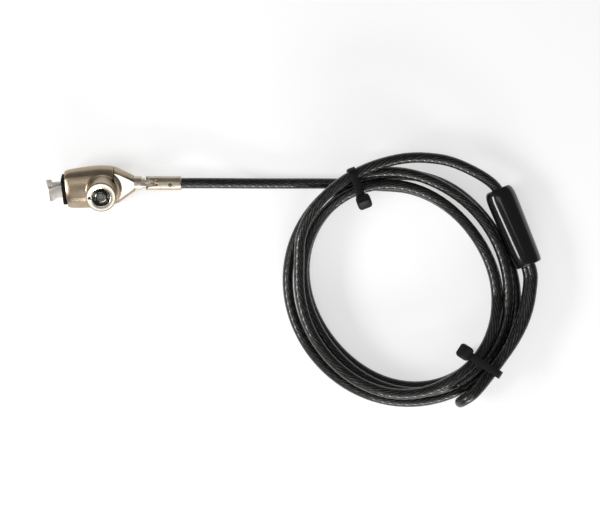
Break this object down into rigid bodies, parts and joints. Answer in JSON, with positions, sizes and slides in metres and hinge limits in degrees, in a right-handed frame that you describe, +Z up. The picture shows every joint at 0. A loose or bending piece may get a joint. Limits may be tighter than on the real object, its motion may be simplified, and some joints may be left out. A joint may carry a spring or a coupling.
{
  "type": "laptop cable lock",
  "caption": "Laptop cable lock: spreading steel jaws, key lock barrel, swivel outlet and a coiled black steel cable with an end loop",
  "frame": {"origin": "Middle of the head and ferrule seen from above, on the table surface", "axes": "+X runs from the jaws to the cable outlet, +Z up, +Y across the head"},
  "size_m": [0.218, 0.1121, 0.0255],
  "materials": {
    "pad_rubber": "matte",
    "shell_nickel": "satin",
    "jaw_steel": "satin",
    "key_ring": "polished",
    "plug_dark": "gloss",
    "pin_brass": "satin",
    "inner_steel": "satin",
    "stud_nickel": "satin",
    "washer_nylon": "matte",
    "cable_jacket": "gloss",
    "sleeve_rubber": "gloss",
    "tie_nylon": "satin"
  },
  "bodies": {
    "cable": {"cable_ferrule": "stud_nickel", "crimp_pin": "plug_dark", "hinge_pin": "stud_nickel", "cable_lead": "cable_jacket", "cable_coil": "cable_jacket", "cable_tail": "cable_jacket", "cable_loop": "cable_jacket", "loop_ferrule": "inner_steel", "loop_sleeve": "sleeve_rubber", "upper_tie": "tie_nylon", "lower_tie": "tie_nylon"},
    "stud": {"swivel_stud": "stud_nickel"},
    "head": {"rubber_pad": "pad_rubber", "nose_plate": "inner_steel", "head_housing": "shell_nickel", "rear_cover": "shell_nickel", "cover_dowels": "inner_steel", "jaw_pivot_pin": "inner_steel", "lock_cylinder": "key_ring", "cylinder_pin": "inner_steel", "pin_sleeve": "pin_brass", "driver_pins": "inner_steel", "driver_springs": "inner_steel", "swivel_washer": "washer_nylon"},
    "front_jaw": {"jaw_front": "jaw_steel"},
    "back_jaw": {"jaw_back": "jaw_steel"},
    "plug": {"key_plug": "plug_dark", "key_post": "plug_dark", "cam_spindle": "inner_steel", "spindle_clip": "inner_steel"},
    "pins": {"key_pins": "pin_brass"}
  },
  "joints": [
    {"name": "ferrule_hinge", "type": "hinge", "parent": "cable", "child": "stud", "pos_m": [0.01695, 0.0026, 0.0065], "axis": [0, 1, 0], "range_deg": [-80, 80]},
    {"name": "head_swivel", "type": "hinge", "parent": "stud", "child": "head", "pos_m": [0.0091, 0.0026, 0.0065], "axis": [1, 0, 0], "continuous": true},
    {"name": "plug_turn", "type": "hinge", "parent": "head", "child": "plug", "pos_m": [-0.00443, -0.00219, 0.01637], "axis": [0.0298, -0.3407, 0.9397], "range_deg": [-90, 0]},
    {"name": "front_jaw_swing", "type": "hinge", "parent": "head", "child": "front_jaw", "pos_m": [-0.01708, 0.00007, 0.00716], "axis": [0.0298, -0.3407, 0.9397], "range_deg": [-6.54, 0]},
    {"name": "back_jaw_swing", "type": "hinge", "parent": "head", "child": "back_jaw", "pos_m": [-0.01712, 0.00055, 0.00584], "axis": [0.0298, -0.3407, 0.9397], "range_deg": [0, 6.54]},
    {"name": "pin_press", "type": "slide", "parent": "plug", "child": "pins", "axis": [-0.0298, 0.3407, -0.9397], "range_m": [0, 0.001], "stiffness_N_per_m": 200, "springref_m": -0.0005}
  ],
  "couplings": [
    {"joint": "front_jaw_swing", "follows": "plug_turn", "ratio": 0.072644},
    {"joint": "back_jaw_swing", "follows": "plug_turn", "ratio": -0.072644}
  ]
}
